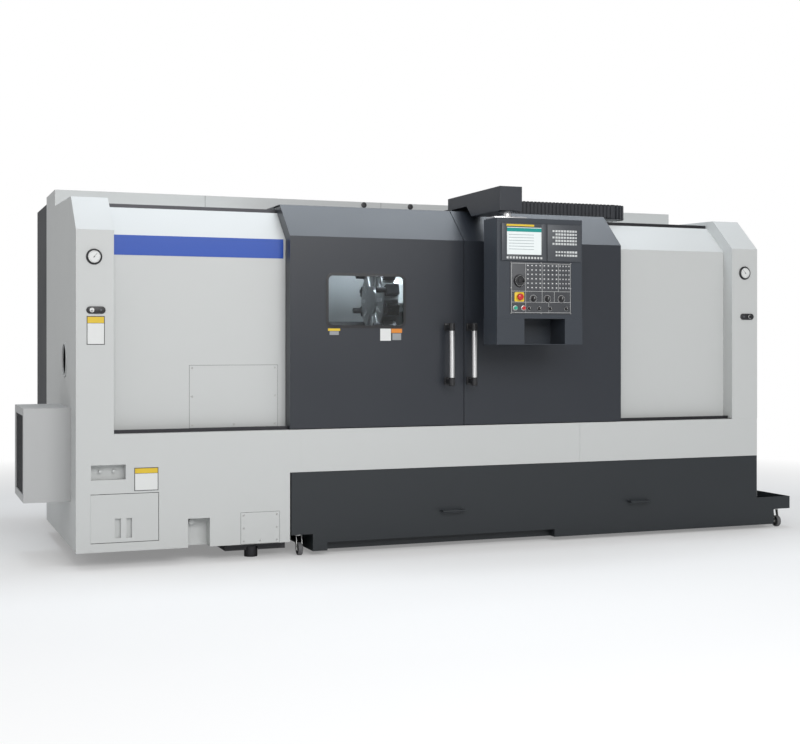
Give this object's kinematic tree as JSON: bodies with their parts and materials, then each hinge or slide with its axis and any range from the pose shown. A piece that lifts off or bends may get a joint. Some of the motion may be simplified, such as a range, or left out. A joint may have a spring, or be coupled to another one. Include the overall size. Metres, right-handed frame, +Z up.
{
  "type": "cnc turning lathe",
  "caption": "Slant-bed turning lathe in a sheet enclosure with sliding doors, a travelling control pendant and a coolant tank on casters.",
  "frame": {"origin": "on the floor under the middle of the machine's outline", "axes": "+X to the right along the spindle, +Y from the front to the back, +Z up"},
  "size_m": [4.984, 2.5483, 2.195],
  "materials": {
    "dark_casting": "rough dark casting paint",
    "ground_steel": "ground",
    "black_steel": "blackened",
    "dark_paint": "satin",
    "belt_rubber": "matt",
    "stainless_sheet": "brushed",
    "light_paint": "satin light grey",
    "slate_paint": "satin dark slate",
    "control_plastic": "matt",
    "cooler_paint": "satin grey",
    "blue_paint": "gloss blue",
    "gauge_black": "gloss black",
    "chain_plastic": "matt dark",
    "window_glass": "clear",
    "handle_black": "matt black",
    "panel_grey": "satin",
    "signal_red": "gloss red",
    "signal_green": "gloss green",
    "tank_paint": "satin dark slate",
    "zinc_steel": "zinc plated",
    "caster_tyre": "grey tread"
  },
  "bodies": {
    "machine": {"machine_bed": "dark_casting", "bed_ways": "ground_steel", "levelling_feet": "black_steel", "headstock": "dark_casting", "spindle_motor": "dark_paint", "drive_belt": "belt_rubber", "chamber_liner": "stainless_sheet", "left_side_panel": "light_paint", "left_front_panel": "light_paint", "left_recess_panel": "light_paint", "header_panel": "light_paint", "right_recess_panel": "light_paint", "right_end_cover": "light_paint", "lower_front_panel": "light_paint", "rear_cover": "light_paint", "roof_deck": "slate_paint", "guide_rails": "ground_steel", "electrical_cabinet": "slate_paint", "drive_rack": "control_plastic", "hydraulic_unit": "dark_paint", "oil_cooler": "cooler_paint", "front_plates": "blue_paint", "pressure_gauges": "gauge_black", "oval_plates": "gauge_black", "drag_chain_back": "chain_plastic"},
    "spindle": {"spindle": "ground_steel", "chuck": "black_steel"},
    "jaw_1": {"chuck_jaw_1": "ground_steel"},
    "jaw_2": {"chuck_jaw_2": "ground_steel"},
    "jaw_3": {"chuck_jaw_3": "ground_steel"},
    "motor_pulley": {"motor_pulley": "dark_casting"},
    "carriage": {"carriage": "dark_casting"},
    "cross_slide": {"cross_slide": "light_paint"},
    "turret": {"turret_disc": "ground_steel", "tool_holders": "black_steel"},
    "tailstock": {"tailstock": "light_paint"},
    "quill": {"quill": "ground_steel"},
    "left_door": {"left_door": "slate_paint", "door_window": "window_glass", "left_door_handle": "handle_black"},
    "right_door": {"right_door": "slate_paint", "right_door_handle": "handle_black"},
    "pendant_beam": {"trolley_beam": "light_paint", "drag_chain_front": "chain_plastic"},
    "chain_bend": {"drag_chain_bend": "chain_plastic"},
    "pendant": {"pendant_box": "light_paint", "pendant_shelf": "light_paint", "control_units": "control_plastic", "switch_panel": "panel_grey"},
    "emergency_stop": {"emergency_stop": "signal_red"},
    "handwheel": {"handwheel": "handle_black"},
    "start_button": {"start_button": "signal_green"},
    "stop_button": {"stop_button": "signal_red"},
    "tank": {"coolant_tank": "tank_paint"},
    "left_caster": {"left_caster_fork": "zinc_steel"},
    "left_wheel": {"left_caster_wheel": "caster_tyre"},
    "right_caster": {"right_caster_fork": "zinc_steel"},
    "right_wheel": {"right_caster_wheel": "caster_tyre"},
    "cabinet_door": {"cabinet_door": "slate_paint"},
    "service_door": {"service_door": "light_paint"}
  },
  "joints": [
    {"name": "spindle_turn", "type": "hinge", "parent": "machine", "child": "spindle", "pos_m": [-1.4315, -0.327, 1.148], "axis": [1, 0, 0], "continuous": true},
    {"name": "motor_turn", "type": "hinge", "parent": "machine", "child": "motor_pulley", "pos_m": [-1.5915, 0.215, 0.5], "axis": [1, 0, 0], "continuous": true},
    {"name": "jaw_1_grip", "type": "slide", "parent": "spindle", "child": "jaw_1", "axis": [0, 0, 1], "range_m": [-0.005, 0.005]},
    {"name": "jaw_2_grip", "type": "slide", "parent": "spindle", "child": "jaw_2", "axis": [0, -0.866, -0.5], "range_m": [-0.005, 0.005]},
    {"name": "jaw_3_grip", "type": "slide", "parent": "spindle", "child": "jaw_3", "axis": [0, 0.866, -0.5], "range_m": [-0.005, 0.005]},
    {"name": "carriage_travel", "type": "slide", "parent": "machine", "child": "carriage", "axis": [1, 0, 0], "range_m": [-0.4, 0.9]},
    {"name": "cross_slide_travel", "type": "slide", "parent": "carriage", "child": "cross_slide", "axis": [0, 0.5, 0.866], "range_m": [-0.14, 0.15]},
    {"name": "turret_index", "type": "hinge", "parent": "cross_slide", "child": "turret", "pos_m": [-0.1965, -0.1115, 1.52126], "axis": [1, 0, 0], "continuous": true},
    {"name": "tailstock_travel", "type": "slide", "parent": "machine", "child": "tailstock", "axis": [1, 0, 0], "range_m": [-0.9, 0.15]},
    {"name": "quill_travel", "type": "slide", "parent": "tailstock", "child": "quill", "axis": [-1, 0, 0], "range_m": [0, 0.15]},
    {"name": "left_door_slide", "type": "slide", "parent": "machine", "child": "left_door", "axis": [1, 0, 0], "range_m": [-0.98, 0]},
    {"name": "right_door_slide", "type": "slide", "parent": "machine", "child": "right_door", "axis": [1, 0, 0], "range_m": [0, 0.83]},
    {"name": "pendant_travel", "type": "slide", "parent": "machine", "child": "pendant_beam", "axis": [1, 0, 0], "range_m": [-0.9, 0.2], "deforming": ["drag_chain_front", "drag_chain_back"]},
    {"name": "chain_bend_travel", "type": "slide", "parent": "machine", "child": "chain_bend", "axis": [1, 0, 0], "range_m": [-0.45, 0.1]},
    {"name": "pendant_swivel", "type": "hinge", "parent": "pendant_beam", "child": "pendant", "pos_m": [0.2395, -1.125, 2], "axis": [0, 0, 1], "range_deg": [-90, 10]},
    {"name": "handwheel_turn", "type": "hinge", "parent": "pendant", "child": "handwheel", "pos_m": [0.2645, -1.245, 1.609], "axis": [0, -1, 0], "continuous": true},
    {"name": "emergency_stop_press", "type": "slide", "parent": "pendant", "child": "emergency_stop", "axis": [0, 1, 0], "range_m": [0, 0.005], "stiffness_N_per_m": 800},
    {"name": "start_press", "type": "slide", "parent": "pendant", "child": "start_button", "axis": [0, 1, 0], "range_m": [0, 0.003], "stiffness_N_per_m": 600},
    {"name": "stop_press", "type": "slide", "parent": "pendant", "child": "stop_button", "axis": [0, 1, 0], "range_m": [0, 0.003], "stiffness_N_per_m": 600},
    {"name": "service_door_hinge", "type": "hinge", "parent": "machine", "child": "service_door", "pos_m": [-2.1522, -0.835, 0.274], "axis": [0, 0, -1], "range_deg": [0, 110]},
    {"name": "cabinet_door_hinge", "type": "hinge", "parent": "machine", "child": "cabinet_door", "pos_m": [-1.4315, 1.251, 1.285], "axis": [0, 0, -1], "range_deg": [0, 110]},
    {"name": "tank_roll", "type": "slide", "parent": "machine", "child": "tank", "axis": [0, -1, 0], "range_m": [0, 0.7]},
    {"name": "left_caster_swivel", "type": "hinge", "parent": "tank", "child": "left_caster", "pos_m": [-0.9415, -0.757, 0.118], "axis": [0, 0, 1], "continuous": true},
    {"name": "left_wheel_turn", "type": "hinge", "parent": "left_caster", "child": "left_wheel", "pos_m": [-0.9415, -0.777, 0.0375], "axis": [1, 0, 0], "continuous": true},
    {"name": "right_caster_swivel", "type": "hinge", "parent": "tank", "child": "right_caster", "pos_m": [2.4285, -0.757, 0.118], "axis": [0, 0, 1], "continuous": true},
    {"name": "right_wheel_turn", "type": "hinge", "parent": "right_caster", "child": "right_wheel", "pos_m": [2.4285, -0.777, 0.0375], "axis": [1, 0, 0], "continuous": true}
  ],
  "couplings": [
    {"joint": "motor_turn", "follows": "spindle_turn", "ratio": 1.2},
    {"joint": "jaw_2_grip", "follows": "jaw_1_grip", "ratio": 1},
    {"joint": "jaw_3_grip", "follows": "jaw_1_grip", "ratio": 1},
    {"joint": "chain_bend_travel", "follows": "pendant_travel", "ratio": 0.5}
  ]
}
